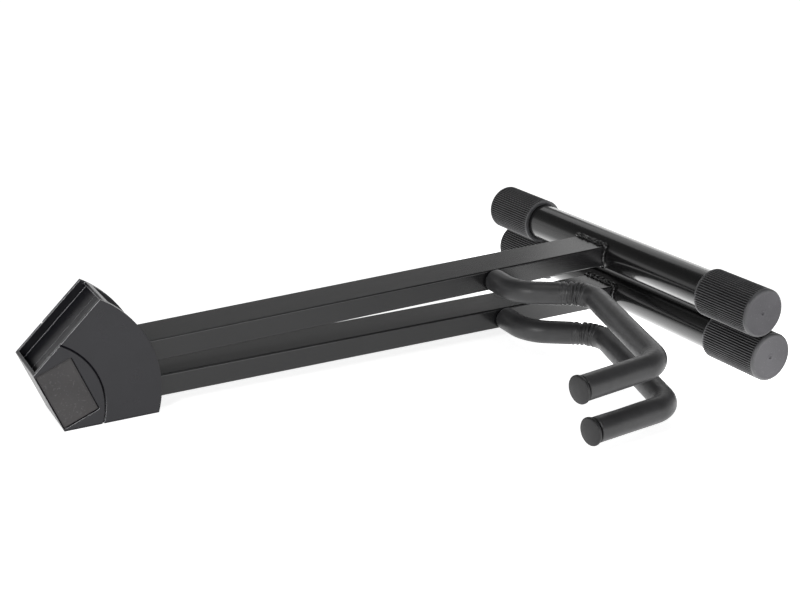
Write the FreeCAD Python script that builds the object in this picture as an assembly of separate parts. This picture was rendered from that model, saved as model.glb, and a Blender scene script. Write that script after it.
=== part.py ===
import FreeCAD, Part
import math
import os

from FreeCAD import Vector

# Folding A-frame instrument stand, folded flat and lying on its side.
# Millimetres. +X runs from the head to the feet, +Y to the stand's back, +Z up.
# The row's origin is the centre of the bounding box's base.
#
# Three working frames are used on the way:
#   leg frame   x along the leg from its pivot to its foot, y across it, z square to it
#   head frame  x down the head's own centre line from its top face, z across it
#   row frame   the lower leg's frame, pitched until the stand lies on the floor

# ---------------------------------------------------------------- driving sizes
LEG_LENGTH = 384.5          # pivot to the axis of the foot tube
LEG_WIDTH = 30.0            # front to back
LEG_THICKNESS = 13.7
LEG_CORNER = 1.2
LEG_WALL = 1.5

FOOT_TUBE_DIAMETER = 25.4
FOOT_TUBE_WALL = 1.5
FOOT_FRONT = 153.8          # leg centre line to the front end of the foot
FOOT_REAR = 117.5           # leg centre line to the rear end of the foot
FOOT_YAW = 4.0              # degrees; leans the legs back when the feet stand flat

CAP_WALL = 2.8
CAP_LENGTH = 45.7
CAP_END = 3.2
CAP_RIM_LENGTH = 0.8        # smooth ring at the open end
CAP_SHOULDER_LENGTH = 1.8   # smooth ring at the closed end
CAP_RIBS = 60
CAP_RIB_HEIGHT = 0.5
CAP_DISH_DIAMETER = 26.0     # shallow dish in the closed end, inside a raised ring
CAP_DISH_DEPTH = 0.7
CAP_DIMPLE_DIAMETER = 2.6   # moulding gate at the dish's centre
CAP_DIMPLE_DEPTH = 1.2
CAP_FILLET = 1.6
CAP_GAP = 0.5               # between the two legs' caps when folded

ROD_DIAMETER = 8.0
SLEEVE_DIAMETER = 15.2
ARM_AT = 286.5              # pivot to the arm's root, along the leg
ARM_STEM = 28.5             # straight out of the leg's front face
ARM_DROP = 39.0             # towards the foot, while going ARM_DROP_OUT forwards
ARM_DROP_OUT = 27.5
ARM_REACH = 111.4           # the shelf that carries the instrument
ARM_RISE = 29.0             # the shelf's rise back towards the head
ARM_LIP = 57.0              # the upturned lip, towards the head
ARM_LIP_OUT = 7.0
ARM_BENDS = (25.0, 20.0, 18.0)
END_CAP_DIAMETER = 16.8
END_CAP_THICKNESS = 3.8
END_CAP_STEM_DIAMETER = 5.0
END_CAP_STEM_LENGTH = 9.0
WELD_SIZE = 1.8

HEAD_TOP = 40.4             # width of the head's flat top face
HEAD_FLARE = 21.5           # degrees from the centre line to each side
HEAD_ARC_RADIUS = 66.0      # lower edge of the shells
HEAD_ARC_DEPTH = 1.4        # centre of that edge, below the top face
HEAD_SKIN = 1.5             # thickness of the top cap, and of the shells' raised outer layer
SHELL_PLATE = 3.7           # the shells' inner layer, which carries the pivots
LEG_SIDE_GAP = 0.6          # each side face of a leg to its shell; a washer fills it
SIDE_RECESS = 5.5           # the shells' rims stand this far out from their side webs
MOUTH_LIP_SINK = 3.4        # the rims stand this far out from the lip at the webs' lower ends
RIM_BACKING = 0.6           # what is left of the shells' inner layer behind those rims
WEB = 1.6
TOP_CAP_WEB = 2.0
TOP_CAP_ARC_RADIUS = 45.5   # lower edge of the top cap
TOP_CAP_ARC_RISE = 13.2     # centre of that edge, above the top face
TOP_CAP_GROOVE = 1.1
PIVOT_DEPTH = 16.9          # below the top face

PAD_WIDTH = 37.0
PAD_HEIGHT = 22.4
PAD_DEPTH = 0.9             # top face to the pad's upper edge
PAD_SINK = 0.3              # below the top cap's face
PAD_GAP = 0.5
PAD_CORNER = 0.8

BARREL_DIAMETER = 7.0
SCREW_DIAMETER = 5.0
FLANGE_DIAMETER = 11.0
FLANGE_THICKNESS = 1.2
SOCKET_ACROSS = 3.0
SOCKET_DEPTH = 2.4
THREAD_REACH = 27.0         # screw shank length
WASHER_DIAMETER = 12.4
RUNNING_CLEARANCE = 0.05
SEAT_CLEARANCE = 0.05
STOP_CLEARANCE = 0.15

# ---------------------------------------------------------------- worked-out sizes
FOOT_RADIUS = FOOT_TUBE_DIAMETER / 2
CAP_RADIUS = FOOT_RADIUS + CAP_WALL
LEG_HALF = LEG_THICKNESS / 2
BARREL_RADIUS = BARREL_DIAMETER / 2
ROD_RADIUS = ROD_DIAMETER / 2
FLARE = math.radians(HEAD_FLARE)
HEAD_FACE = LEG_WIDTH / 2 + LEG_SIDE_GAP + SHELL_PLATE + HEAD_SKIN   # half the head's width
PLATE_FACE = HEAD_FACE - HEAD_SKIN
SHELL_INSIDE = PLATE_FACE - SHELL_PLATE
SIDE_SEAT = SIDE_RECESS + WEB
PIVOT_OFFSET = (HEAD_TOP / 2 + PIVOT_DEPTH * math.tan(FLARE)
                - (SIDE_SEAT + STOP_CLEARANCE + LEG_HALF) / math.cos(FLARE))
AXIS_Y = Vector(0, 1, 0)
ORIGIN = Vector(0, 0, 0)


# ---------------------------------------------------------------- small helpers
def cylinder(radius, y_low, y_high, x=0.0, z=0.0):
    """A round bar along Y."""
    return Part.makeCylinder(radius, y_high - y_low, Vector(x, y_low, z), AXIS_Y)


def box(x_low, x_high, y_low, y_high, z_low, z_high):
    size = (x_high - x_low, y_high - y_low, z_high - z_low)
    return Part.makeBox(*size, Vector(x_low, y_low, z_low))


def rounded_bar(x_low, x_high, half_y, half_z, corner):
    """A rounded rectangular bar along X."""
    bar = box(x_low, x_high, -half_y, half_y, -half_z, half_z)
    long_edges = [e for e in bar.Edges if abs(e.tangentAt(e.FirstParameter).x) > 0.9]
    return bar.makeFillet(min(corner, 0.95 * half_z), long_edges)


def plate(edges, y_low, y_high):
    """A closed outline in the XZ plane, made into a solid between two Y planes."""
    wire = Part.Wire(Part.__sortEdges__(edges))
    wire.translate(Vector(0, y_low, 0))
    return Part.Face(wire).extrude(Vector(0, y_high - y_low, 0))


def rounded_path(points, radii):
    """Straight runs joined by tangent arcs of the given radii."""
    edges = []
    start = points[0]
    for before, corner, after, radius in zip(points, points[1:], points[2:], radii):
        inward = (before - corner).normalize()
        outward = (after - corner).normalize()
        half_turn = (math.pi - inward.getAngle(outward)) / 2
        reach = radius * math.tan(half_turn)
        bisector = (inward + outward).normalize()
        middle = corner + bisector * (radius / math.cos(half_turn) - radius)
        first, last = corner + inward * reach, corner + outward * reach
        edges.append(Part.makeLine(start, first))
        edges.append(Part.Arc(first, middle, last).toShape())
        start = last
    edges.append(Part.makeLine(start, points[-1]))
    return edges


def swept(edges, radius):
    """A round bar along a path."""
    path = Part.Wire(edges)
    start = edges[0].valueAt(edges[0].FirstParameter)
    direction = edges[0].tangentAt(edges[0].FirstParameter)
    circle = Part.Wire(Part.makeCircle(radius, start, direction))
    return path.makePipeShell([circle], True, False)


def turned(shape, degrees):
    """The shape turned about the Y axis, +X towards +Z."""
    copy = shape.copy()
    copy.rotate(ORIGIN, AXIS_Y, -degrees)
    return copy


def turned_point(point, degrees):
    return FreeCAD.Rotation(AXIS_Y, -degrees).multVec(point)


# ---------------------------------------------------------------- one leg, in the leg frame
def leg_outline(grow=0.0):
    """The leg's outer form: round about its pivot, and running on to the foot's axis."""
    half_y, half_z = LEG_WIDTH / 2 + grow, LEG_HALF + grow
    bar = rounded_bar(-half_z, LEG_LENGTH, half_y, half_z, LEG_CORNER + grow)
    behind = box(-2 * half_z, 0, -half_y, half_y, -half_z, half_z)
    nose = cylinder(half_z, -half_y, half_y)
    return bar.cut(behind.cut(nose))


def foot_bar(radius, y_low, y_high):
    """A round bar on the foot's axis, which is yawed in the leg's plane."""
    bar = cylinder(radius, y_low, y_high)
    return on_foot(bar)


def on_foot(shape):
    placed = shape.copy()
    placed.rotate(ORIGIN, Vector(0, 0, 1), FOOT_YAW)
    placed.translate(Vector(LEG_LENGTH, 0, 0))
    return placed


def leg_bore(gap=0.0):
    """The space inside the leg tube, less a gap all round."""
    inset = LEG_WALL + gap
    return rounded_bar(-LEG_LENGTH, 2 * LEG_LENGTH, LEG_WIDTH / 2 - inset,
                       LEG_HALF - inset, LEG_CORNER - LEG_WALL / 2)


def make_leg_tube():
    tube = leg_outline().cut(leg_bore())
    tube = tube.cut(foot_bar(FOOT_RADIUS, -LEG_WIDTH, LEG_WIDTH))
    return tube.cut(cylinder(BARREL_RADIUS + RUNNING_CLEARANCE, -LEG_WIDTH, LEG_WIDTH))


def make_leg_bushing():
    outside = cylinder(LEG_HALF - LEG_WALL - SEAT_CLEARANCE, -LEG_WIDTH, LEG_WIDTH)
    outside = outside.common(leg_bore(SEAT_CLEARANCE))
    return outside.cut(cylinder(BARREL_RADIUS + RUNNING_CLEARANCE, -LEG_WIDTH, LEG_WIDTH))


def make_foot_tube():
    low, high = -FOOT_FRONT + CAP_END, FOOT_REAR - CAP_END
    inside = foot_bar(FOOT_RADIUS - FOOT_TUBE_WALL, low, high)
    return foot_bar(FOOT_RADIUS, low, high).cut(inside)


def make_foot_weld():
    collar = leg_outline(WELD_SIZE).common(foot_bar(FOOT_RADIUS + WELD_SIZE, -LEG_WIDTH, LEG_WIDTH))
    collar = collar.common(box(0, LEG_LENGTH, -LEG_WIDTH, LEG_WIDTH, -LEG_WIDTH, LEG_WIDTH))
    return collar.cut(leg_outline()).cut(foot_bar(FOOT_RADIUS, -LEG_WIDTH, LEG_WIDTH))


def ribbed_bar(radius, rib_height, count, y_low, y_high):
    """A bar with evenly spaced lengthwise ribs, flat-topped and as wide as their gaps."""
    step = 2 * math.pi / count
    corners = []
    for rib in range(count):
        for share, reach in ((0.0, 0.0), (0.15, 1.0), (0.5, 1.0), (0.65, 0.0)):
            angle = (rib + share) * step
            r = radius - rib_height * (1 - reach)
            corners.append(Vector(r * math.cos(angle), y_low, r * math.sin(angle)))
    outline = Part.makePolygon(corners + [corners[0]])
    return Part.Face(outline).extrude(Vector(0, y_high - y_low, 0))


def dish(radius, depth):
    """A ball that dips to a depth below y = 0, within a radius."""
    ball = (radius ** 2 + depth ** 2) / (2 * depth)
    return Part.makeSphere(ball, Vector(0, ball - depth, 0))


def make_foot_cap():
    """A rubber cap along +Y, with its closed end at y = 0."""
    inner_end = -CAP_LENGTH
    body = cylinder(CAP_RADIUS, inner_end, 0)
    outer_edges = [e for e in body.Edges if abs(e.CenterOfMass.y) < 1e-6 and len(e.Vertexes) == 1]
    body = body.makeFillet(CAP_FILLET, outer_edges)
    band_low, band_high = inner_end + CAP_RIM_LENGTH, -CAP_SHOULDER_LENGTH
    band = cylinder(CAP_RADIUS + CAP_WALL, band_low, band_high)
    ribs = ribbed_bar(CAP_RADIUS, CAP_RIB_HEIGHT, CAP_RIBS, band_low, band_high)
    body = body.cut(band.cut(ribs))
    body = body.cut(cylinder(FOOT_RADIUS + SEAT_CLEARANCE, inner_end, -CAP_END))
    body = body.cut(dish(CAP_DISH_DIAMETER / 2, CAP_DISH_DEPTH))
    return body.cut(cylinder(CAP_DIMPLE_DIAMETER / 2, -CAP_DIMPLE_DEPTH, 0))


def make_front_cap():
    cap = make_foot_cap()
    cap.rotate(ORIGIN, Vector(0, 0, 1), 180)
    cap.translate(Vector(0, -FOOT_FRONT, 0))
    return on_foot(cap)


def make_rear_cap():
    cap = make_foot_cap()
    cap.translate(Vector(0, FOOT_REAR, 0))
    return on_foot(cap)


def arm_points(start_gap):
    """The arm's corners, from the leg's front face (plus a gap) to its upturned end."""
    face = -LEG_WIDTH / 2
    steps = [(0, -ARM_STEM), (ARM_DROP, -ARM_DROP_OUT), (-ARM_RISE, -ARM_REACH), (-ARM_LIP, -ARM_LIP_OUT)]
    points = [Vector(ARM_AT, face, 0)]
    for along, out in steps:
        points.append(points[-1] + Vector(along, out, 0))
    points[0] = points[0] + Vector(0, -start_gap, 0)
    return points


def arm_end():
    """The arm's last point and its direction there."""
    points = arm_points(0)
    return points[-1], (points[-1] - points[-2]).normalize()


def make_arm_rod():
    rod = swept(rounded_path(arm_points(0), ARM_BENDS), ROD_RADIUS)
    tip, ahead = arm_end()
    depth = END_CAP_STEM_LENGTH + SEAT_CLEARANCE
    hole_radius = END_CAP_STEM_DIAMETER / 2 + SEAT_CLEARANCE
    return rod.cut(Part.makeCylinder(hole_radius, depth, tip - ahead * depth, ahead))


def make_arm_weld():
    ring = cylinder(ROD_RADIUS + WELD_SIZE, -LEG_WIDTH / 2 - WELD_SIZE, -LEG_WIDTH / 2, x=ARM_AT)
    outer = [e for e in ring.Edges if abs(e.CenterOfMass.y + LEG_WIDTH / 2 + WELD_SIZE) < 1e-6
             and len(e.Vertexes) == 1]
    ring = ring.makeChamfer(0.8 * WELD_SIZE, outer)
    return ring.cut(cylinder(ROD_RADIUS, -LEG_WIDTH, 0, x=ARM_AT))


def make_arm_sleeve():
    path = rounded_path(arm_points(WELD_SIZE), ARM_BENDS)
    return swept(path, SLEEVE_DIAMETER / 2).cut(swept(path, ROD_RADIUS + SEAT_CLEARANCE))


def make_arm_end_cap():
    """A domed button with a stem, along the arm's end."""
    tip, ahead = arm_end()
    radius = END_CAP_DIAMETER / 2
    edge = 0.4 * END_CAP_THICKNESS
    dome_height = END_CAP_THICKNESS - edge
    dome_radius = (radius ** 2 + dome_height ** 2) / (2 * dome_height)
    button = Part.makeCylinder(radius, END_CAP_THICKNESS, tip, ahead)
    button = button.common(Part.makeSphere(dome_radius, tip + ahead * (END_CAP_THICKNESS - dome_radius)))
    stem = Part.makeCylinder(END_CAP_STEM_DIAMETER / 2, END_CAP_STEM_LENGTH + edge,
                             tip - ahead * END_CAP_STEM_LENGTH, ahead)
    return button.fuse(stem).removeSplitter()


def leg_pieces():
    return {
        "leg_tube": make_leg_tube(),
        "leg_bushing": make_leg_bushing(),
        "foot_tube": make_foot_tube(),
        "foot_weld": make_foot_weld(),
        "foot_cap_front": make_front_cap(),
        "foot_cap_rear": make_rear_cap(),
        "arm_rod": make_arm_rod(),
        "arm_weld": make_arm_weld(),
        "arm_sleeve": make_arm_sleeve(),
        "arm_end_cap": make_arm_end_cap(),
    }


# ---------------------------------------------------------------- the head, in the head frame
def side_at(depth, inset=0.0):
    """Half width of the head at a depth below its top face, inset square to its side."""
    return HEAD_TOP / 2 + depth * math.tan(FLARE) - inset / math.cos(FLARE)


def depth_on_arc(inset, radius):
    """Depth at which the inset side line meets an arc about the arc centre."""
    slope, start = math.tan(FLARE), side_at(HEAD_ARC_DEPTH, inset)
    # (d cos) and (start + d tan) on the circle: d^2 + (start + d slope)^2 = radius^2
    a, b, c = 1 + slope ** 2, 2 * start * slope, start ** 2 - radius ** 2
    return HEAD_ARC_DEPTH + (-b + math.sqrt(b * b - 4 * a * c)) / (2 * a)


def head_outline(top, inset, radius):
    """The head's fan outline: top line, two flared sides and the lower arc."""
    end = depth_on_arc(inset, radius)
    half_top, half_end = side_at(top, inset), side_at(end, inset)
    corners = [Vector(top, 0, -half_top), Vector(top, 0, half_top),
               Vector(end, 0, half_end), Vector(end, 0, -half_end)]
    arc = Part.Arc(corners[2], Vector(HEAD_ARC_DEPTH + radius, 0, 0), corners[3]).toShape()
    return [Part.makeLine(corners[3], corners[0]), Part.makeLine(corners[0], corners[1]),
            Part.makeLine(corners[1], corners[2]), arc]


def top_cap_disc(radius, y_low, y_high):
    return cylinder(radius, y_low, y_high, x=-TOP_CAP_ARC_RISE)


def pivot_bars(radius, y_low, y_high):
    """A round bar on each leg's pivot axis."""
    return [cylinder(radius, y_low, y_high, x=PIVOT_DEPTH, z=side * PIVOT_OFFSET) for side in (-1, 1)]


def make_trough(depth, radius):
    """What is taken from between the plates along both sides, out to an arc."""
    reach = PLATE_FACE - RIM_BACKING
    outer = plate(head_outline(0, 0, radius), -reach, reach)
    return outer.cut(plate(head_outline(0, depth, 2 * radius), -HEAD_FACE, HEAD_FACE))


def make_shell_core():
    """Both shells in one: layered plates, side webs, top web and the lower leg's rib."""
    top = TOP_CAP_WEB + SEAT_CLEARANCE
    full = plate(head_outline(top, 0, HEAD_ARC_RADIUS), -HEAD_FACE, HEAD_FACE)
    hollow = plate(head_outline(top + WEB, SIDE_SEAT, 2 * HEAD_ARC_RADIUS), -SHELL_INSIDE, SHELL_INSIDE)
    core = full.cut(hollow).cut(make_trough(SIDE_RECESS, HEAD_ARC_RADIUS - WEB))
    core = core.cut(make_trough(MOUTH_LIP_SINK, 2 * HEAD_ARC_RADIUS))
    for y_low, y_high in ((-HEAD_FACE, -PLATE_FACE), (PLATE_FACE, HEAD_FACE)):
        core = core.cut(top_cap_disc(TOP_CAP_ARC_RADIUS, y_low, y_high))
    for bar in pivot_bars(BARREL_RADIUS + RUNNING_CLEARANCE, -HEAD_FACE, HEAD_FACE):
        core = core.cut(bar)
    seat = PLATE_FACE - FLANGE_THICKNESS - SEAT_CLEARANCE
    for y_low, y_high in ((-HEAD_FACE, -seat), (seat, HEAD_FACE)):
        for bar in pivot_bars(FLANGE_DIAMETER / 2 + SEAT_CLEARANCE, y_low, y_high):
            core = core.cut(bar)
    return core.fuse(make_leg_rib()).removeSplitter()


def make_leg_rib():
    """The rib that keeps the lower leg against its side web."""
    low = LEG_HALF + STOP_CLEARANCE
    arc_room = HEAD_ARC_RADIUS - WEB
    rib = box(-LEG_HALF, arc_room, -SHELL_INSIDE, SHELL_INSIDE, low, low + WEB)
    rib = from_lower_leg(rib)
    return rib.common(plate(head_outline(TOP_CAP_WEB, SIDE_SEAT, arc_room), -SHELL_INSIDE, SHELL_INSIDE))


def make_shell(side):
    """The front (side -1) or rear (side 1) shell: the core up to the parting plane."""
    reach = 2 * HEAD_ARC_RADIUS
    half = box(-reach, reach, min(0, side * reach), max(0, side * reach), -reach, reach)
    return make_shell_core().common(half)


def make_top_cap():
    full = plate(head_outline(0, 0, HEAD_ARC_RADIUS), -HEAD_FACE, HEAD_FACE)
    full = full.common(top_cap_disc(TOP_CAP_ARC_RADIUS - TOP_CAP_GROOVE, -HEAD_FACE, HEAD_FACE))
    reach = 2 * HEAD_ARC_RADIUS
    cap = full.cut(box(TOP_CAP_WEB, reach, -PLATE_FACE, PLATE_FACE, -reach, reach))
    cap = cap.cut(pad_block(PAD_GAP, -HEAD_FACE, -PLATE_FACE))
    for bar in pivot_bars(FLANGE_DIAMETER / 2 + 2 * SEAT_CLEARANCE, PLATE_FACE, HEAD_FACE):
        cap = cap.cut(bar)
    return cap


def pad_block(grow, y_low, y_high):
    low, high = PAD_DEPTH - grow, PAD_DEPTH + PAD_HEIGHT + grow
    half = PAD_WIDTH / 2 + grow
    block = box(low, high, y_low, y_high, -half, half)
    upright = [e for e in block.Edges if abs(e.tangentAt(e.FirstParameter).y) > 0.9]
    return block.makeFillet(PAD_CORNER + grow, upright)


def make_pad():
    return pad_block(0, -HEAD_FACE + PAD_SINK, -PLATE_FACE)


def hex_socket(y_low, y_high):
    radius = SOCKET_ACROSS / math.sqrt(3)
    corners = [Vector(radius * math.cos(k * math.pi / 3), y_low, radius * math.sin(k * math.pi / 3))
               for k in range(7)]
    return Part.Face(Part.makePolygon(corners)).extrude(Vector(0, y_high - y_low, 0))


def make_pivot_screw():
    """A flat-headed screw, in from the front."""
    head = cylinder(FLANGE_DIAMETER / 2, -PLATE_FACE, -PLATE_FACE + FLANGE_THICKNESS)
    shank = cylinder(SCREW_DIAMETER / 2, -PLATE_FACE, -PLATE_FACE + THREAD_REACH)
    return head.fuse(shank).cut(hex_socket(-PLATE_FACE, -PLATE_FACE + SOCKET_DEPTH)).removeSplitter()


def make_pivot_barrel():
    """A flanged barrel nut, in from the rear; the leg turns on it."""
    front = -PLATE_FACE + FLANGE_THICKNESS + SEAT_CLEARANCE
    flange = cylinder(FLANGE_DIAMETER / 2, PLATE_FACE - FLANGE_THICKNESS, PLATE_FACE)
    barrel = cylinder(BARREL_RADIUS, front, PLATE_FACE).fuse(flange)
    thread = cylinder(SCREW_DIAMETER / 2 + SEAT_CLEARANCE, -HEAD_FACE, -PLATE_FACE + THREAD_REACH + WEB)
    return barrel.cut(thread).cut(hex_socket(PLATE_FACE - SOCKET_DEPTH, PLATE_FACE)).removeSplitter()


def make_pivot_washers():
    """One washer each side of the leg, against the shells."""
    washers = []
    for side in (-1, 1):
        low, high = sorted((side * (LEG_WIDTH / 2 + SEAT_CLEARANCE), side * SHELL_INSIDE))
        ring = cylinder(WASHER_DIAMETER / 2, low, high)
        washers.append(ring.cut(cylinder(BARREL_RADIUS + RUNNING_CLEARANCE, low, high)))
    return Part.makeCompound(washers)


def from_lower_leg(shape):
    """From the lower leg's frame to the head frame."""
    placed = turned(shape, -HEAD_FLARE)
    placed.translate(Vector(PIVOT_DEPTH, 0, -PIVOT_OFFSET))
    return placed


def to_lower_leg(shape):
    """From the head frame to the lower leg's frame."""
    placed = shape.copy()
    placed.translate(Vector(-PIVOT_DEPTH, 0, PIVOT_OFFSET))
    return turned(placed, HEAD_FLARE)


def at_pivot(shape, side):
    """A piece made on the Y axis, moved to the upper (1) or lower (-1) leg's pivot."""
    placed = shape.copy()
    placed.translate(Vector(PIVOT_DEPTH, 0, side * PIVOT_OFFSET))
    return placed


def head_pieces():
    pieces = {
        "head_front_shell": make_shell(-1),
        "head_rear_shell": make_shell(1),
        "head_top_cap": make_top_cap(),
        "head_pad": make_pad(),
    }
    for name, side in (("upper", 1), ("lower", -1)):
        pieces[name + "_pivot_screw"] = at_pivot(make_pivot_screw(), side)
        pieces[name + "_pivot_barrel"] = at_pivot(make_pivot_barrel(), side)
        pieces[name + "_pivot_washers"] = at_pivot(make_pivot_washers(), side)
    return pieces


# ---------------------------------------------------------------- the whole stand
def upper_pivot_in_lower_leg():
    across = 2 * PIVOT_OFFSET
    return turned_point(Vector(0, 0, across), HEAD_FLARE)


def folded_angle():
    """Angle between the folded legs, in degrees, at which their foot caps all but touch."""
    pivot = upper_pivot_in_lower_leg()
    apart = 2 * CAP_RADIUS + CAP_GAP
    x, z = pivot.x - LEG_LENGTH, pivot.z
    reach = math.hypot(x, z)
    cosine = (apart ** 2 - reach ** 2 - LEG_LENGTH ** 2) / (2 * LEG_LENGTH * reach)
    return math.degrees(math.atan2(z, x) - math.acos(cosine))


def lying_pitch():
    """Degrees the lower leg rises to its foot when head and lower caps are on the floor."""
    corner = turned_point(Vector(-PIVOT_DEPTH, 0, PIVOT_OFFSET - HEAD_TOP / 2), HEAD_FLARE)
    x, z = LEG_LENGTH - corner.x, -corner.z
    return math.degrees(math.asin(CAP_RADIUS / math.hypot(x, z)) - math.atan2(z, x))


def build():
    pieces = {}
    pitch = lying_pitch()
    fold = folded_angle()
    upper_pivot = upper_pivot_in_lower_leg()
    for name, shape in head_pieces().items():
        pieces[name] = turned(to_lower_leg(shape), pitch)
    for name, shape in leg_pieces().items():
        pieces["lower_" + name] = turned(shape, pitch)
        upper = turned(shape, fold)
        upper.translate(upper_pivot)
        pieces["upper_" + name] = turned(upper, pitch)
    bounds = Part.makeCompound(list(pieces.values())).optimalBoundingBox()
    shift = Vector(-bounds.Center.x, -bounds.Center.y, -bounds.ZMin)
    for shape in pieces.values():
        shape.translate(shift)
    pivot = turned_point(upper_pivot, pitch) + shift
    return pieces, pivot, fold, pitch, shift


def main():
    pieces, pivot, fold, pitch, shift = build()
    os.makedirs("parts", exist_ok=True)
    for name, shape in pieces.items():
        shape.exportStep("parts/" + name + ".step")
    print("pieces", len(pieces), "all valid", all(s.isValid() for s in pieces.values()))
    print("upper pivot", pivot, "lower pivot", shift)
    print("folded angle", fold, "pitch", pitch, "opens by", 2 * HEAD_FLARE - fold)


main()
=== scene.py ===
"""Looks for a folding instrument stand, folded flat and lying on its side."""
import math
import bpy
from mathutils import Matrix, Vector, noise


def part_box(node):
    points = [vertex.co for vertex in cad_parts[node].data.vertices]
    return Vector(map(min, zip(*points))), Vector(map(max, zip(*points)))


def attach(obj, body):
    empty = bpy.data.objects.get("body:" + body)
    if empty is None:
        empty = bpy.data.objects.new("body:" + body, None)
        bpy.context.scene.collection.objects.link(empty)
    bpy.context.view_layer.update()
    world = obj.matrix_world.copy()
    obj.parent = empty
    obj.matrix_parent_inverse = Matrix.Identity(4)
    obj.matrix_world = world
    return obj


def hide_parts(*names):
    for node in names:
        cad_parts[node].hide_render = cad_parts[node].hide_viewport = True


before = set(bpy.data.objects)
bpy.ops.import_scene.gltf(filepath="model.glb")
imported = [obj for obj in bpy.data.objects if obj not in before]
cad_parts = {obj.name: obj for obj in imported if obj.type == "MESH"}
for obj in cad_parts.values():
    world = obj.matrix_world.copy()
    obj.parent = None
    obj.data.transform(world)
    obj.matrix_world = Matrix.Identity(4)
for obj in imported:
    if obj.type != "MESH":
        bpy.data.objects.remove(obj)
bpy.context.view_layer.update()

MM = 0.001

# Sizes in mm, as in the part's source.
LYING_PITCH = 0.2020        # degrees, the lower leg's slope as the stand lies
FOLDED_ANGLE = 1.2676       # degrees between the two legs
HEAD_FLARE = 21.5           # degrees, the head's centre line above the lower leg
PIVOT_OFFSET = 11.70        # each pivot from the head's centre line
PIVOT_DEPTH = 16.9          # below the head's top face
LEG_WIDTH = 30.0
ROD_RADIUS = 4.05
SLEEVE_RADIUS = 7.6
ARM_START = (286.5, -LEG_WIDTH / 2 - 1.8)
ARM_CORNERS = ((286.5, -43.5), (325.5, -71.0), (296.5, -182.4), (239.5, -189.4))
ARM_BENDS = (25.0, 20.0, 18.0)
PAD_DEPTH, PAD_WIDTH, PAD_HEIGHT = 0.9, 37.0, 22.4
LEG_LENGTH = 384.5
FOOT_YAW = 4.0              # degrees
FOOT_ENDS = {"front": -153.8, "rear": 117.5}
CAP_RADIUS, CAP_LENGTH, CAP_BORE, CAP_END = 15.5, 45.7, 12.75, 3.2

# ---------------------------------------------------------------- camera
CAMERA_PLACE = (-0.390384, -0.770762, 0.369216)                         # m
CAMERA_AZIMUTH, CAMERA_ELEVATION, CAMERA_ROLL = 27.119, 20.162, -0.329  # degrees
CAMERA_LENS, CAMERA_SENSOR = 67.5, 36                                   # mm


def place_camera():
    """In front of the arms and above, looking towards the feet."""
    azimuth, elevation, roll = map(math.radians, (CAMERA_AZIMUTH, CAMERA_ELEVATION, CAMERA_ROLL))
    ahead = Vector((math.sin(azimuth) * math.cos(elevation), math.cos(azimuth) * math.cos(elevation),
                    -math.sin(elevation)))
    right = Vector((math.cos(azimuth), -math.sin(azimuth), 0))
    above = right.cross(ahead)
    right, above = (math.cos(roll) * right + math.sin(roll) * above,
                    math.cos(roll) * above - math.sin(roll) * right)
    data = bpy.data.cameras.new("camera")
    data.lens, data.sensor_width = CAMERA_LENS, CAMERA_SENSOR
    data.clip_start, data.clip_end = 0.01, 50
    camera = bpy.data.objects.new("camera", data)
    turn = Matrix((right, above, -ahead)).transposed().to_4x4()
    camera.matrix_world = Matrix.Translation(CAMERA_PLACE) @ turn
    bpy.context.scene.collection.objects.link(camera)
    bpy.context.scene.camera = camera


place_camera()


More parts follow.
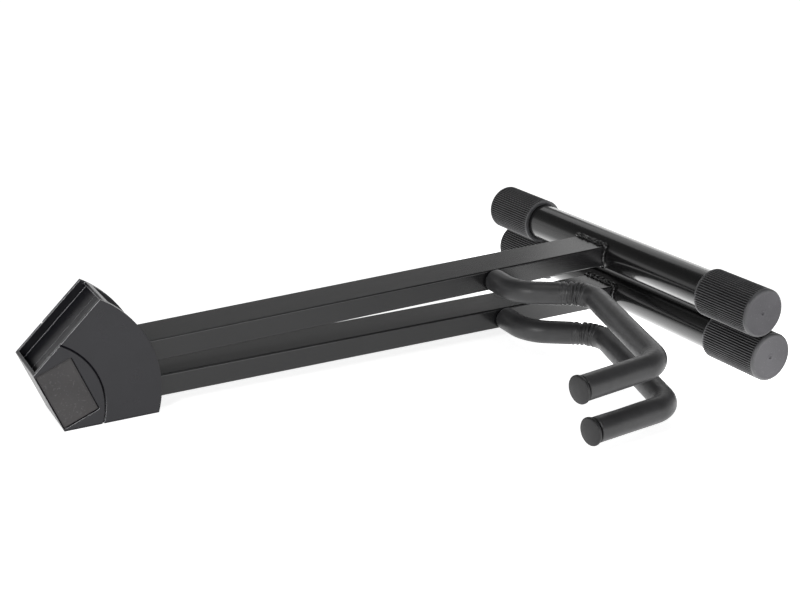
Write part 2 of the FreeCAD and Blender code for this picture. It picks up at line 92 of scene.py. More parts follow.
# ---------------------------------------------------------------- materials
class Shader:
    """A principled material whose colour, roughness and bump come from procedural nodes."""

    def __init__(self, name, edge=0.0, **sockets):
        self.material = bpy.data.materials.new(name)
        self.material.use_nodes = True
        self.tree = self.material.node_tree
        self.surface = self.tree.nodes["Principled BSDF"]
        for key, value in sockets.items():
            self.surface.inputs[key.replace("_", " ")].default_value = value
        self.coords = self.tree.nodes.new("ShaderNodeTexCoord").outputs["Object"]
        self.height = None          # the normal so far, with its rounded edges and bumps
        if edge:
            bevel = self.tree.nodes.new("ShaderNodeBevel")
            bevel.samples = 6
            bevel.inputs["Radius"].default_value = edge * MM
            self.height = bevel.outputs["Normal"]
            self.tree.links.new(self.height, self.surface.inputs["Normal"])

    def node(self, kind, links=None, **values):
        made = self.tree.nodes.new("ShaderNode" + kind)
        for key, value in values.items():
            if hasattr(made, key):
                setattr(made, key, value)
            else:
                made.inputs[key.replace("_", " ")].default_value = value
        for key, source in (links or {}).items():
            self.tree.links.new(source, made.inputs[key])
        return made

    def stretched(self, scale, shift=(0, 0, 0)):
        mapping = self.node("Mapping", {"Vector": self.coords})
        mapping.inputs["Scale"].default_value = scale
        mapping.inputs["Location"].default_value = shift
        return mapping.outputs["Vector"]

    def noise(self, scale, detail, vector=None):
        made = self.node("TexNoise", {"Vector": vector or self.coords})
        made.inputs["Scale"].default_value = scale
        made.inputs["Detail"].default_value = detail
        made.inputs["Roughness"].default_value = 0.55
        return made.outputs["Fac"]

    def cells(self, scale):
        made = self.node("TexVoronoi", {"Vector": self.coords})
        made.inputs["Scale"].default_value = scale
        return made.outputs["Distance"]

    def ramp(self, source, low, high, dark, light):
        """source from low to high gives a colour (or grey) from dark to light."""
        made = self.node("ValToRGB", {"Fac": source})
        for element, position, colour in zip(made.color_ramp.elements, (low, high), (dark, light)):
            element.position = position
            if isinstance(colour, (int, float)):
                colour = (colour,) * 3
            element.color = (*colour, 1)
        return made.outputs["Color"]

    def mixed(self, first, second, factor, mode="MULTIPLY"):
        made = self.node("Mix", {})
        made.data_type, made.blend_type = "RGBA", mode
        made.inputs["Factor"].default_value = factor
        self.tree.links.new(first, made.inputs[6])
        self.tree.links.new(second, made.inputs[7])
        return made.outputs[2]

    def painted_edge_highlight(self, facing, pale):
        """Painted highlight: a pale grey along the rounded edges that face the given way, broken up by
        noise.
        """
        rounded = self.height
        flat = self.node("NewGeometry").outputs["Normal"]
        sharp = self.node("VectorMath", {0: rounded, 1: flat}, operation="DOT_PRODUCT").outputs["Value"]
        turned = self.node("VectorMath", {0: rounded}, operation="DOT_PRODUCT")
        turned.inputs[1].default_value = facing
        # painted highlight: the rounded edges that face the given way turn pale grey, in patches
        edge = self.ramp(sharp, 0.80, 0.975, (1, 1, 1), (0, 0, 0))
        side = self.ramp(turned.outputs["Value"], 0.62, 0.86, (0, 0, 0), (pale, pale, pale * 1.03))
        highlight_breakup = self.ramp(self.noise(420, 3), 0.25, 0.60, (0.55, 0.55, 0.55), (1, 1, 1))
        return self.mixed(self.mixed(edge, side, 1.0), highlight_breakup, 1.0)

    def dull_grooves(self, reach):
        """Takes the shine out of grooves and inner corners up to reach mm wide."""
        hidden = self.node("AmbientOcclusion", samples=8, Distance=reach * MM)
        level = self.surface.inputs["Specular IOR Level"]
        shine = self.ramp(hidden.outputs["AO"], 0.45, 0.80, 0.02, level.default_value)
        self.tree.links.new(shine, level)

    def colour(self, source):
        self.tree.links.new(source, self.surface.inputs["Base Color"])
        return self

    def rough(self, source):
        self.tree.links.new(source, self.surface.inputs["Roughness"])
        return self

    def bump(self, source, depth, strength):
        """depth in metres; bumps add up."""
        links = {"Height": source}
        if self.height is not None:
            links["Normal"] = self.height
        made = self.node("Bump", links)
        made.inputs["Strength"].default_value = strength
        made.inputs["Distance"].default_value = depth
        self.height = made.outputs["Normal"]
        self.tree.links.new(self.height, self.surface.inputs["Normal"])
        return self


PLASTIC_EDGE, LEG_EDGE = 0.9, 0.5           # mm, radius of the rounded edges
PLASTIC_GROOVE = 2.2                        # mm, how far a groove's walls darken it
PLASTIC_HIGHLIGHT_FACES = (-0.66, -0.33, 0.67)   # which way the edges with a painted highlight face
# which way the legs' edges with a painted highlight face
LEG_HIGHLIGHT_FACES = (-0.2, -0.69, 0.69)


def painted(name, dark, light, rough_low, rough_high, grain, coat, shine=0.5, edge=0.0,
            peel_depth=0.00002):
    """Paint or powder coat over steel: a fine orange peel, faint handling marks, a few dust specks, and
    with an edge radius a painted highlight along the edges that face up and forward.
    """
    shader = Shader(name, edge, Specular_IOR_Level=shine, Coat_Weight=coat, Coat_Roughness=0.07)
    patches = shader.noise(38, 4)
    peel = shader.noise(grain, 2)
    specks = shader.ramp(shader.cells(520), 0.035, 0.075, (0.30, 0.30, 0.32), (0.0, 0.0, 0.0))
    base = shader.ramp(patches, 0.3, 0.72, dark, light)
    base = shader.mixed(base, specks, 0.22, "ADD")
    # painted highlight along the legs' edges that face up and forward
    if edge:
        base = shader.mixed(base, shader.painted_edge_highlight(LEG_HIGHLIGHT_FACES, 0.16), 1.0, "ADD")
    shader.colour(base)
    streaks = shader.noise(1, 3, shader.stretched((60, 420, 420)))
    shader.rough(shader.ramp(streaks, 0.25, 0.78, rough_low, rough_high))
    shader.bump(peel, peel_depth, 0.5)
    shader.bump(shader.noise(grain * 3.1, 2), peel_depth * 0.3, 0.5)
    return shader.material


def rubber(name, dark, light, rough_low, rough_high, grain, depth):
    """Moulded rubber: mottled, faintly dusty, with a fine grain."""
    shader = Shader(name, Specular_IOR_Level=0.42)
    base = shader.ramp(shader.noise(75, 5), 0.28, 0.72, dark, light)
    dust = shader.ramp(shader.noise(900, 2), 0.60, 0.86, (0, 0, 0), (0.12, 0.12, 0.125))
    shader.colour(shader.mixed(base, dust, 0.5, "ADD"))
    shader.rough(shader.ramp(shader.noise(150, 4), 0.3, 0.75, rough_low, rough_high))
    shader.bump(shader.noise(grain, 3), depth, 0.7)
    shader.bump(shader.cells(grain * 0.7), depth * 0.6, 0.5)
    return shader.material


def plastic(name, dark, light, rough_low, rough_high, grain, depth):
    """Moulded plastic with a spark-eroded grain, faint flow marks and a painted highlight along the
    edges that face up, left and forward.
    """
    shader = Shader(name, PLASTIC_EDGE, Specular_IOR_Level=0.45)
    base = shader.ramp(shader.noise(45, 5), 0.3, 0.7, dark, light)
    # a painted highlight along the edges that face up, left and forward
    shader.colour(shader.mixed(base, shader.painted_edge_highlight(PLASTIC_HIGHLIGHT_FACES, 0.7), 1.0, "ADD"))
    shader.rough(shader.ramp(shader.noise(110, 4), 0.28, 0.74, rough_low, rough_high))
    shader.bump(shader.cells(grain), depth, 0.55)
    shader.bump(shader.noise(grain * 0.35, 4), depth * 1.5, 0.5)
    shader.dull_grooves(PLASTIC_GROOVE)
    return shader.material


def foam(name, dark, light):
    """Closed-cell foam sleeve: matte skin with fine pores, a soft sheen at grazing angles."""
    shader = Shader(name, Specular_IOR_Level=0.62, Sheen_Weight=0.05, Sheen_Roughness=0.4)
    shader.surface.inputs["Sheen Tint"].default_value = (0.85, 0.85, 0.88, 1)
    base = shader.ramp(shader.noise(90, 4), 0.28, 0.74, dark, light)
    pores = shader.ramp(shader.cells(2300), 0.12, 0.42, (0.62, 0.62, 0.62), (1, 1, 1))
    shader.colour(shader.mixed(base, pores, 0.5))
    shader.rough(shader.ramp(shader.noise(340, 4), 0.3, 0.7, 0.35, 0.45))
    shader.bump(shader.cells(2300), 0.00004, 0.45)
    shader.bump(shader.noise(420, 4), 0.00008, 0.4)
    return shader.material


def zinc(name):
    """Zinc-plated steel with turning marks."""
    shader = Shader(name, Metallic=1.0)
    shader.colour(shader.ramp(shader.noise(260, 4), 0.3, 0.7, (0.42, 0.42, 0.43), (0.62, 0.62, 0.61)))
    shader.rough(shader.ramp(shader.noise(600, 3), 0.3, 0.7, 0.28, 0.44))
    shader.bump(shader.noise(1, 2, shader.stretched((6000, 300, 6000))), 0.00002, 0.4)
    return shader.material


def nylon(name):
    """Natural nylon, slightly cloudy."""
    shader = Shader(name, Subsurface_Weight=0.15)
    shader.surface.inputs["Subsurface Scale"].default_value = 0.002
    shader.colour(shader.ramp(shader.noise(300, 4), 0.3, 0.7, (0.58, 0.57, 0.53), (0.70, 0.69, 0.66)))
    shader.rough(shader.ramp(shader.noise(500, 3), 0.3, 0.7, 0.42, 0.58))
    shader.bump(shader.noise(1500, 3), 0.00004, 0.4)
    return shader.material


# the legs' paint carries a painted highlight on its rounded edges
LEG_PAINT = painted("leg_paint", (0.007, 0.007, 0.0075), (0.010, 0.010, 0.0105), 0.19, 0.22, 1500, 0.0,
                    edge=LEG_EDGE, peel_depth=0.000008)
FOOT_PAINT = painted("foot_paint", (0.004, 0.004, 0.0042), (0.007, 0.007, 0.0072),
                     0.20, 0.28, 900, 0.55, 0.32)
WELD_PAINT = painted("weld_paint", (0.004, 0.004, 0.004), (0.009, 0.009, 0.009), 0.12, 0.26, 1700, 0.2)
CAP_RUBBER = rubber("cap_rubber", (0.058, 0.058, 0.061), (0.084, 0.084, 0.088),
                    0.30, 0.42, 2600, 0.00003)
# the same rubber near black: painted shade for the grooves between the cap's ribs
CAP_GROOVE_SHADE = rubber("cap_groove_rubber", (0.003, 0.003, 0.003), (0.006, 0.006, 0.0063),
                     0.50, 0.64, 2600, 0.00003)
CAP_FACE = rubber("cap_face_rubber", (0.055, 0.053, 0.059), (0.076, 0.074, 0.081),
                  0.44, 0.58, 1500, 0.00005)
PAD_RUBBER = rubber("pad_rubber", (0.036, 0.034, 0.035), (0.052, 0.049, 0.049),
                    0.60, 0.78, 1700, 0.00010)
HEAD_PLASTIC = plastic("head_plastic", (0.006, 0.0058, 0.0085), (0.009, 0.0088, 0.012),
                       0.26, 0.35, 2800, 0.00002)
BUTTON_PLASTIC = plastic("button_plastic", (0.010, 0.010, 0.011), (0.023, 0.023, 0.024),
                         0.36, 0.50, 2400, 0.00004)
FOAM = foam("foam", (0.020, 0.020, 0.021), (0.033, 0.033, 0.0345))
# a darker copy of the foam: painted shade for the deepest creases
FOAM_CREASE_SHADE = foam("foam_crease_shade", (0.006, 0.006, 0.006), (0.010, 0.010, 0.010))
ZINC = zinc("zinc")
NYLON = nylon("nylon")

NODE_MATERIALS = {
    "leg_tube": LEG_PAINT, "leg_bushing": NYLON, "foot_tube": FOOT_PAINT, "foot_weld": WELD_PAINT,
    "foot_cap_front": CAP_RUBBER, "foot_cap_rear": CAP_RUBBER, "arm_rod": FOOT_PAINT,
    "arm_weld": WELD_PAINT, "arm_sleeve": FOAM, "arm_end_cap": BUTTON_PLASTIC,
    "pivot_screw": ZINC, "pivot_barrel": ZINC, "pivot_washers": NYLON,
    "head_front_shell": HEAD_PLASTIC, "head_rear_shell": HEAD_PLASTIC,
    "head_top_cap": HEAD_PLASTIC, "head_pad": PAD_RUBBER,
}
LEG_BODIES = {"lower": "base", "upper": "folding_leg"}


def material_of(node):
    """The material of a CAD node; both legs' nodes share it."""
    return NODE_MATERIALS[node.removeprefix("lower_").removeprefix("upper_")]


def paint(piece, material):
    """The material in every slot of the piece."""
    piece.data.materials.clear()
    piece.data.materials.append(material)


for node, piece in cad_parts.items():
    paint(piece, material_of(node))


# ---------------------------------------------------------------- frames
def middle(node):
    low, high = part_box(node)
    return (low + high) / 2


PIVOTS = {side: middle(side + "_pivot_barrel") for side in LEG_BODIES}
SLOPES = {"lower": math.radians(LYING_PITCH), "upper": math.radians(LYING_PITCH + FOLDED_ANGLE)}


def on_leg(side, along, across, up):
    """A point given in mm in a leg's own frame, in the row frame."""
    slope = SLOPES[side]
    x = along * math.cos(slope) - up * math.sin(slope)
    z = along * math.sin(slope) + up * math.cos(slope)
    return PIVOTS[side] + Vector((x, across, z)) * MM


def new_piece(name, vertices, faces, node, body):
    """A mesh that stands for a CAD node."""
    mesh = bpy.data.meshes.new(name)
    mesh.from_pydata(vertices, [], faces)
    mesh.validate()
    piece = bpy.data.objects.new(name, mesh)
    bpy.context.scene.collection.objects.link(piece)
    mesh.polygons.foreach_set("use_smooth", [True] * len(mesh.polygons))
    paint(piece, material_of(node))
    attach(piece, body)
    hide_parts(node)
    return piece


def band(sides, first, second):
    """The quads between two rings of vertices, each given by its first vertex."""
    return [(first + k, first + (k + 1) % sides, second + (k + 1) % sides, second + k)
            for k in range(sides)]


def arm_ring(side, point, ahead, radii):
    """A ring of vertices about a point of the arm, square to it, with a radius in mm for each."""
    normal = Vector((-ahead.y, ahead.x))
    ring = []
    for k, radius in enumerate(radii):
        angle = math.tau * k / len(radii)
        place = point + normal * radius * math.cos(angle)
        ring.append(on_leg(side, place.x, place.y, radius * math.sin(angle)))
    return ring


# ---------------------------------------------------------------- foam sleeves
SLEEVE_STEP = 0.3           # mm between rings
SLEEVE_SIDES = 72
SLEEVE_ROUND = 0.9          # mm, radius of the cut ends' edges
SLEEVE_SHORT = {"upper": 0.25, "lower": 1.0}    # mm of bare rod before the end button
SLEEVE_WAVES = 0.12         # mm, how much the skin swells and sinks
BORE_STRIDE = 6             # the bore has one ring for this many of the skin's
RIPPLE_DEPTH = 0.10         # mm, the fine wrinkles inside the bends
RIPPLED_BENDS = (0, 2)      # the one between them has creases instead
KINK = {"upper": 62.8, "lower": 64.4}           # mm along the arm to the middle of the creases
FOLD_REACH = 16             # mm either side of that
FOLD_DEPTH, FOLD_SHADE = 2.3, 0.62              # the creases' scale; mm deep from which they are painted dark as shade
BULGE, BULGE_REACH = 0.22, 7                    # mm, how the skin gathers among the creases
CREASES = (                 # mm from the middle, depth, half width, lean across the foam
    (-10.6, 0.26, 0.42, 0.5), (-9.0, 0.34, 0.40, -0.4), (-7.2, 0.46, 0.42, 0.9), (-5.3, 0.85, 0.52, 0.3),
    (-3.4, 0.60, 0.42, -1.0), (-1.7, 1.00, 0.58, 0.5), (0.5, 0.66, 0.45, 1.3), (2.4, 1.05, 0.60, -0.5),
    (4.3, 0.70, 0.48, 0.6), (6.1, 0.46, 0.50, -0.9), (8.2, 0.26, 0.50, 0.4))


def arm_path():
    """(point, direction, bend, number) every SLEEVE_STEP mm along the arm, in the leg's plane, in mm.

    bend is 0 on a straight run and reaches 1 or -1 within a bend, by which side is inside.
    number says which bend it is, and is -1 on a straight run."""
    corners = [Vector(ARM_START)] + [Vector(p) for p in ARM_CORNERS]
    samples = []
    start = corners[0]
    for number, radius in enumerate(ARM_BENDS):
        before, corner, after = corners[number:number + 3]
        inward, outward = (before - corner).normalized(), (after - corner).normalized()
        turn = math.pi - inward.angle(outward)
        reach = radius * math.tan(turn / 2)
        first, last = corner + inward * reach, corner + outward * reach
        samples += run(start, first)
        centre = corner + (inward + outward).normalized() * radius / math.cos(turn / 2)
        side = 1 if (-inward).cross(outward) > 0 else -1
        steps = max(2, round(radius * turn / SLEEVE_STEP))
        for k in range(steps):
            part = (k + 0.5) / steps
            spoke = Matrix.Rotation(side * turn * part, 2) @ (first - centre)
            ahead = Matrix.Rotation(side * turn * part, 2) @ (-inward)
            samples.append((centre + spoke, ahead, side * math.sin(math.pi * part) ** 0.7, number))
        start = last
    samples += run(start, corners[-1])
    return samples


def run(start, end):
    """Samples along a straight run."""
    steps = max(2, round((end - start).length / SLEEVE_STEP))
    ahead = (end - start).normalized()
    return [(start.lerp(end, (k + 0.5) / steps), ahead, 0.0, -1) for k in range(steps)]


def sleeve_swell(side, length, angle, bend, number):
    """How far the foam's skin stands out of its nominal circle, and how deep a fold cuts it, in mm."""
    seed = 7.3 if side == "upper" else 31.9
    where = Vector((length * 0.05, math.cos(angle) * 0.9, math.sin(angle) * 0.9 + seed))
    swell = -SLEEVE_WAVES + SLEEVE_WAVES * noise.noise(where)
    away = length - KINK[side]
    fold = 0.0
    if abs(away) < FOLD_REACH:
        reach = 0.45 + 0.55 * max(0.0, math.cos(angle - 0.5))
        wander = 0.9 * noise.noise(Vector((math.cos(angle) * 1.6, math.sin(angle) * 1.6, seed)))
        for middle_at, depth, width, lean in CREASES:
            off = (away - middle_at - lean * math.sin(angle) - wander) / width
            patchy = 0.75 + 0.5 * noise.noise(Vector((middle_at, angle * 1.2, seed + 11)))
            fold += FOLD_DEPTH * depth * reach * patchy * math.exp(-off * off)
        swell -= fold
        swell += BULGE * math.exp(-(away / BULGE_REACH) ** 2)
    if number in RIPPLED_BENDS:
        inside = max(0.0, 0.5 + 0.5 * math.cos(angle) * (1 if bend > 0 else -1))
        ripple = 0.5 + 0.5 * math.sin(length * 1.9 + math.sin(angle))
        swell -= RIPPLE_DEPTH * abs(bend) * inside ** 2 * ripple ** 2
    return swell, fold


def make_sleeve(side):
    """A foam tube along the arm, wrinkled inside its bends, with softly cut ends; its deepest creases
    are painted dark as shade.
    """
    samples = arm_path()
    samples = samples[:-round(SLEEVE_SHORT[side] / SLEEVE_STEP)]
    rings, shaded_creases = [], []
    length = 0.0
    total = SLEEVE_STEP * len(samples)
    previous = samples[0][0]
    for point, ahead, bend, number in samples:
        length += (point - previous).length
        previous = point
        edge = min(length, total - length)
        cut = 0.0
        if edge < SLEEVE_ROUND:
            cut = SLEEVE_ROUND - math.sqrt(max(0.0, SLEEVE_ROUND ** 2 - (SLEEVE_ROUND - edge) ** 2))
        skin = [sleeve_swell(side, length, math.tau * k / SLEEVE_SIDES, bend, number)
                for k in range(SLEEVE_SIDES)]
        shaded_creases += [fold > FOLD_SHADE for _, fold in skin]
        rings.append(arm_ring(side, point, ahead, [SLEEVE_RADIUS + swell - cut for swell, _ in skin]))
    for point, ahead, _, _ in (samples[-1], *reversed(samples[1:-1:BORE_STRIDE]), samples[0]):
        rings.append(arm_ring(side, point, ahead, [ROD_RADIUS] * SLEEVE_SIDES))
    vertices = [v for ring in rings for v in ring]
    faces = []
    for r in range(len(rings)):
        faces += band(SLEEVE_SIDES, r * SLEEVE_SIDES, (r + 1) % len(rings) * SLEEVE_SIDES)
    node = side + "_arm_sleeve"
    sleeve = new_piece(side + "_foam_sleeve", vertices, faces, node, LEG_BODIES[side])
    # faces in the deepest creases take the darker copy: painted shade
    sleeve.data.materials.append(FOAM_CREASE_SHADE)
    dark = [int(k < len(shaded_creases) and shaded_creases[k]) for k in range(len(faces))]
    sleeve.data.polygons.foreach_set("material_index", dark)


# ---------------------------------------------------------------- end buttons
BUTTON_NECK = 6.4
BUTTON_PROFILE = (          # mm out from the neck's end, radius
    (0.0, 7.9), (0.25, 8.25), (0.8, 8.35), (1.5, 8.3), (1.85, 8.05), (2.05, 7.6), (2.1, 7.2), (2.2, 6.6),
    (2.45, 5.0), (2.6, 3.4), (2.68, 1.8))
BUTTON_THICKNESS = 3.75
BUTTON_SIDES = 96


def make_button(side):
    """The moulded button that closes the foam's end: a neck, a rounded lip and a slightly domed face."""
    end, before = Vector(ARM_CORNERS[-1]), Vector(ARM_CORNERS[-2])
    ahead = (end - before).normalized()
    lip = BUTTON_THICKNESS - BUTTON_PROFILE[-1][0] - 0.02
    profile = [(0.0, BUTTON_NECK), (lip - 0.02, BUTTON_NECK)]
    profile += [(lip + out, radius) for out, radius in BUTTON_PROFILE]
    vertices, faces = [], []
    for out, radius in profile:
        vertices += arm_ring(side, end + ahead * out, ahead, [radius] * BUTTON_SIDES)
    for r in range(len(profile) - 1):
        faces += band(BUTTON_SIDES, r * BUTTON_SIDES, (r + 1) * BUTTON_SIDES)
    top = (len(profile) - 1) * BUTTON_SIDES
    faces.append(tuple(reversed(range(BUTTON_SIDES))))
    faces.append(tuple(range(top, top + BUTTON_SIDES)))
    node = side + "_arm_end_cap"
    new_piece(side + "_end_button", vertices, faces, node, LEG_BODIES[side])


# ---------------------------------------------------------------- head pad
PAD_COLUMNS, PAD_ROWS = 76, 46
PAD_EDGE, PAD_EDGE_DROP = 1.1, 0.55             # mm, the rounded rim's width and drop
PAD_HOLLOW, PAD_WAVES, PAD_SUNK = 0.10, 0.05, 0.05  # mm, all down from the solid's face


def make_pad():
    """A moulded rubber pad: a very slightly hollow, wavy face with rounded edges."""
    slope = math.radians(HEAD_FLARE + LYING_PITCH)
    down = Vector((math.cos(slope), 0, math.sin(slope)))
    across = Vector((-math.sin(slope), 0, math.cos(slope)))
    top = PIVOTS["lower"] - down * PIVOT_DEPTH * MM + across * PIVOT_OFFSET * MM
    low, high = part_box("head_pad")
    centre = top + down * (PAD_DEPTH + PAD_HEIGHT / 2) * MM
    columns, rows = PAD_COLUMNS, PAD_ROWS
    vertices, faces = [], []
    for j in range(rows + 1):
        for i in range(columns + 1):
            u, v = (i / columns - 0.5) * PAD_WIDTH, (j / rows - 0.5) * PAD_HEIGHT
            edge = min(PAD_WIDTH / 2 - abs(u), PAD_HEIGHT / 2 - abs(v))
            fall = PAD_EDGE_DROP * max(0.0, 1 - edge / PAD_EDGE) ** 2
            hollow = PAD_HOLLOW * (1 - (2 * u / PAD_WIDTH) ** 2) * (1 - (2 * v / PAD_HEIGHT) ** 2)
            wave = PAD_WAVES * noise.noise(Vector((u * 0.16, v * 0.16, 3.7)))
            depth = fall + hollow + PAD_SUNK + wave
            face = Vector((centre.x, low.y + depth * MM, centre.z))
            vertices.append(face + (across * u + down * v) * MM)
    for j in range(rows):
        for i in range(columns):
            a = j * (columns + 1) + i
            faces.append((a, a + 1, a + columns + 2, a + columns + 1))
    border = ([j * (columns + 1) for j in range(rows)]
              + [rows * (columns + 1) + i for i in range(columns)]
              + [(rows - j) * (columns + 1) + columns for j in range(rows)]
              + [columns - i for i in range(columns)])
    base = len(vertices)
    vertices += [Vector((vertices[v].x, high.y, vertices[v].z)) for v in border]
    count = len(border)
    for k in range(count):
        n = (k + 1) % count
        faces.append((border[k], base + k, base + n, border[n]))
    faces.append(tuple(base + count - 1 - k for k in range(count)))
    pad = new_piece("head_rubber_pad", vertices, faces, "head_pad", "base")


# ---------------------------------------------------------------- foot caps
CAP_RIBS, CAP_RIB_SAMPLES = 60, 10
CAP_GROOVE = 0.8            # mm
CAP_FILLET = 1.6
CAP_RING = 13.1             # radius inside the raised ring of the closed end
CAP_DISH = 0.7              # mm, the dish inside that ring
GROOVE_SHADE_SLOT = 2             # the cap's materials: 0 its skin, 1 its end face, 2 its grooves, painted near black as shade


def cap_stations():
    """(place from the open end, radius, how far the ribs show, whether on the end face), in mm."""
    ribs_from, ribs_to = 0.9, CAP_LENGTH - 1.9
    stations = [(0.0, CAP_BORE, 0, 0), (0.0, CAP_RADIUS - 0.35, 0, 0), (0.12, CAP_RADIUS - 0.1, 0, 0),
                (0.35, CAP_RADIUS, 0, 0), (ribs_from - 0.1, CAP_RADIUS, 0, 0),
                (ribs_from + 0.2, CAP_RADIUS, 1, 0)]
    count = 12
    stations += [(ribs_from + 0.2 + (ribs_to - ribs_from - 0.4) * k / count, CAP_RADIUS, 1, 0)
                 for k in range(1, count + 1)]
    stations += [(ribs_to + 0.1, CAP_RADIUS, 0, 0)]
    for k in range(9):
        turn = math.pi / 2 * k / 8
        stations.append((CAP_LENGTH - CAP_FILLET * (1 - math.sin(turn)),
                         CAP_RADIUS - CAP_FILLET * (1 - math.cos(turn)), 0, 0))
    stations += [(CAP_LENGTH - 0.02, CAP_RING + 0.4, 0, 1), (CAP_LENGTH - 0.14, CAP_RING, 0, 1)]
    for radius in (12.4, 11.2, 9.6, 7.8, 5.8, 4.0, 2.8, 1.9):
        stations.append((CAP_LENGTH - 0.14 - CAP_DISH * (1 - (radius / CAP_RING) ** 2), radius, 0, 1))
    low = CAP_LENGTH - 0.14 - CAP_DISH
    gate = ((0.16, 1.55), (0.05, 1.2), (-0.45, 0.95), (-0.5, 0.45))     # out from the dish, radius
    stations += [(low + out, radius, 0, 1) for out, radius in gate]
    return stations


def make_cap(side, end):
    """A ribbed rubber cap on one end of a foot, its grooves painted near black as shade, its end face
    dished inside a raised ring.
    """
    yaw = math.radians(FOOT_YAW)
    outward = -1 if end == "front" else 1
    sides = CAP_RIBS * CAP_RIB_SAMPLES

    def place(at, radius, angle):
        along = FOOT_ENDS[end] + outward * (at - CAP_LENGTH)
        reach = radius * math.cos(angle)
        return on_leg(side, LEG_LENGTH + reach * math.cos(yaw) - along * math.sin(yaw),
                      along * math.cos(yaw) + reach * math.sin(yaw), radius * math.sin(angle))

    rings, on_face, ribbed_here = [], [], [0]
    for at, radius, ribbed, face in cap_stations():
        ring = []
        for k in range(sides):
            angle = math.tau * k / sides
            crest = 0.5 + 0.5 * math.cos(CAP_RIBS * angle)
            wobble = 0.03 * noise.noise(Vector((at * 0.2, math.cos(angle) * 2, math.sin(angle) * 2)))
            groove = ribbed * CAP_GROOVE * (1 - crest ** 0.85)
            ring.append(place(at, radius - groove + wobble * (radius > 3), angle))
        rings.append(ring)
        on_face.append(face)
        ribbed_here.append(ribbed)
    tip = place(cap_stations()[-1][0] + 0.08, 0, 0)
    inner = CAP_LENGTH - CAP_END
    bore = [place(inner, CAP_BORE, math.tau * k / sides) for k in range(sides)]
    vertices = [v for ring in (bore, *rings) for v in ring] + [place(inner, 0, 0), tip]
    faces, materials = [], []
    for r in range(len(rings)):
        quads = band(sides, r * sides, (r + 1) * sides)
        faces += quads if outward > 0 else [quad[::-1] for quad in quads]
        for k in range(sides):
            # faces down in a groove take the painted shade
            in_groove_shade = ribbed_here[r] and math.cos(math.tau * (k + 0.5) / CAP_RIB_SAMPLES) < 0.1
            materials.append(GROOVE_SHADE_SLOT if in_groove_shade else on_face[r])
    hubs = ((0, len(vertices) - 2, 0, -1), (len(rings), len(vertices) - 1, 1, 1))
    for ring, hub, material, flip in hubs:
        for k in range(sides):
            triangle = (ring * sides + k, ring * sides + (k + 1) % sides, hub)
            faces.append(triangle if outward * flip > 0 else triangle[::-1])
            materials.append(material)
    node = f"{side}_foot_cap_{end}"
    cap = new_piece(f"{side}_{end}_rubber_cap", vertices, faces, node, LEG_BODIES[side])
    cap.data.materials.append(CAP_FACE)
    cap.data.materials.append(CAP_GROOVE_SHADE)
    cap.data.polygons.foreach_set("material_index", materials)


# ---------------------------------------------------------------- welds
WELD_VOXEL = 0.4            # mm
WELD_LUMPS = ((0.42, 0.75), (1.1, 0.45), (2.3, 0.22))   # waves per mm, mm high


def make_weld(node, side):
    """The CAD weld as a rough bead: remeshed finely, then pushed about by noise."""
    blank = bpy.data.objects.new(node + "_blank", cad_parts[node].data.copy())
    bpy.context.scene.collection.objects.link(blank)
    remesh = blank.modifiers.new("remesh", "REMESH")
    remesh.mode, remesh.voxel_size = "VOXEL", WELD_VOXEL * MM
    soften = blank.modifiers.new("soften", "SMOOTH")
    soften.factor, soften.iterations = 0.5, 2
    bpy.context.view_layer.update()
    mesh = bpy.data.meshes.new_from_object(blank.evaluated_get(bpy.context.evaluated_depsgraph_get()))
    bpy.data.objects.remove(blank)
    normals = [vertex.normal.copy() for vertex in mesh.vertices]
    for vertex, normal in zip(mesh.vertices, normals):
        push = sum(height * noise.noise(vertex.co * (waves / MM)) for waves, height in WELD_LUMPS)
        vertex.co += normal * (push + 0.1) * MM
    mesh.polygons.foreach_set("use_smooth", [True] * len(mesh.polygons))
    piece = bpy.data.objects.new(node + "_bead", mesh)
    bpy.context.scene.collection.objects.link(piece)
    piece.matrix_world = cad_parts[node].matrix_world.copy()
    paint(piece, WELD_PAINT)
    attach(piece, LEG_BODIES[side])
    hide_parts(node)


for side in LEG_BODIES:
    make_sleeve(side)
    make_button(side)
    for end in FOOT_ENDS:
        make_cap(side, end)
    for part in ("_foot_weld", "_arm_weld"):
        make_weld(side + part, side)
make_pad()


# ---------------------------------------------------------------- stage and light
FLOOR_LEVEL = 0.78
GLOW_LEVEL = 3.2            # the emission at the middle of the floor's brighter patch under the feet, a painted pool of light
GLOW_CENTRE, GLOW_REACH = (0.205, 0.03, 0.0), (0.10, 0.24, 1.0)     # m


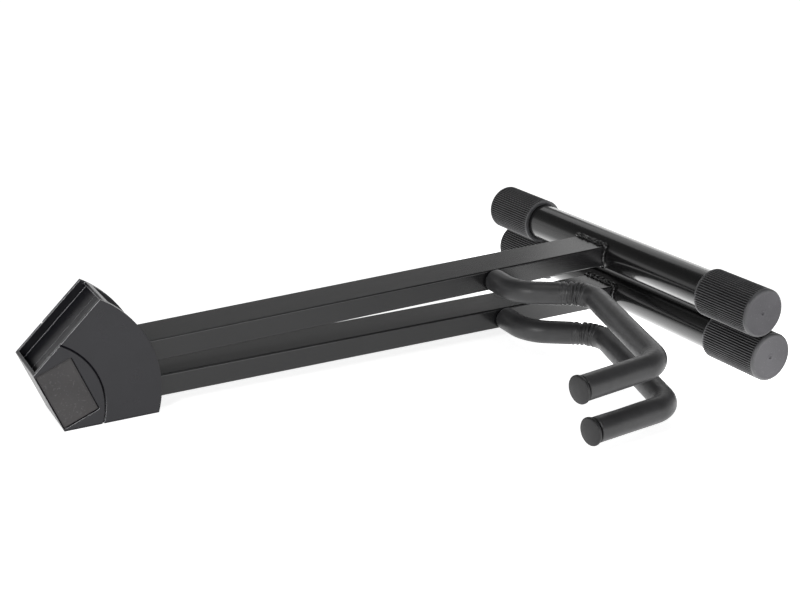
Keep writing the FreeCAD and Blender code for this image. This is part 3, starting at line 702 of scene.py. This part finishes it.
def make_stage():
    """A pale plain floor that glows evenly, and brighter under the feet as a painted pool of light."""
    vertices = [(x * 6, y * 6, 0) for y in (-1, 1) for x in (-1, 1)]
    mesh = bpy.data.meshes.new("floor")
    mesh.from_pydata(vertices, [], [(0, 1, 3, 2)])
    floor = bpy.data.objects.new("floor", mesh)
    bpy.context.scene.collection.objects.link(floor)
    shader = Shader("floor_paper", Specular_IOR_Level=0.2)
    shader.colour(shader.ramp(shader.noise(3, 2), 0.3, 0.7, (0.93, 0.93, 0.93), (0.95, 0.95, 0.95)))
    shader.rough(shader.ramp(shader.noise(40, 3), 0.3, 0.7, 0.7, 0.8))
    # the glow rises towards the feet: a painted pool of light
    shift = [-c / r for c, r in zip(GLOW_CENTRE, GLOW_REACH)]
    around = shader.stretched([1 / r for r in GLOW_REACH], shift)
    glow = shader.node("TexGradient", {"Vector": around}, gradient_type="SPHERICAL")
    shader.tree.links.new(shader.ramp(glow.outputs["Fac"], 0.0, 0.8, FLOOR_LEVEL / GLOW_LEVEL, 1.0),
                          shader.surface.inputs["Emission Color"])
    shader.surface.inputs["Emission Strength"].default_value = GLOW_LEVEL
    mesh.materials.append(shader.material)


def make_light(name, place, aim, width, height, power):
    """A rectangular light at a place in metres, turned to the point that it is aimed at."""
    data = bpy.data.lights.new(name, "AREA")
    data.shape, data.size, data.size_y, data.energy = "RECTANGLE", width, height, power
    light = bpy.data.objects.new(name, data)
    light.location = place
    light.rotation_mode = "QUATERNION"
    light.rotation_quaternion = (Vector(aim) - Vector(place)).to_track_quat("-Z", "Y")
    bpy.context.scene.collection.objects.link(light)


def make_world():
    """A studio tent: bright round the horizon, dim overhead."""
    world = bpy.data.worlds.new("studio")
    world.use_nodes = True
    nodes, links = world.node_tree.nodes, world.node_tree.links
    split = nodes.new("ShaderNodeSeparateXYZ")
    links.new(nodes.new("ShaderNodeTexCoord").outputs["Generated"], split.inputs["Vector"])
    ramp = nodes.new("ShaderNodeValToRGB")
    for position, level in ((0.0, 1.0), (0.2, 0.95), (0.33, 0.23), (0.6, 0.12), (1.0, 0.10)):
        stops = ramp.color_ramp.elements
        stop = stops[0] if position == 0.0 else stops[-1] if position == 1.0 else stops.new(position)
        stop.color = (level, level, level, 1)
    links.new(split.outputs["Z"], ramp.inputs["Fac"])
    links.new(ramp.outputs["Color"], nodes["Background"].inputs["Color"])
    bpy.context.scene.world = world


make_stage()
make_world()
make_light("overhead", (0.15, -0.15, 1.3), (0, 0, 0), 0.7, 0.5, 1.8)
make_light("front", (0.15, -2.0, 0.38), (0, 0, 0.05), 2.1, 0.6, 11.5)
make_light("back", (1.98, 1.5, 0.72), (0.1, 0, 0.05), 1.65, 1.4, 4.9)
make_light("back_top", (0.75, 1.45, 1.25), (0.18, 0, 0.05), 1.1, 0.6, 1.8)
make_light("key", (-0.95, -0.6, 0.75), (-0.2, 0, 0.05), 0.3, 0.3, 4)
bpy.context.scene.view_settings.view_transform = "Standard"
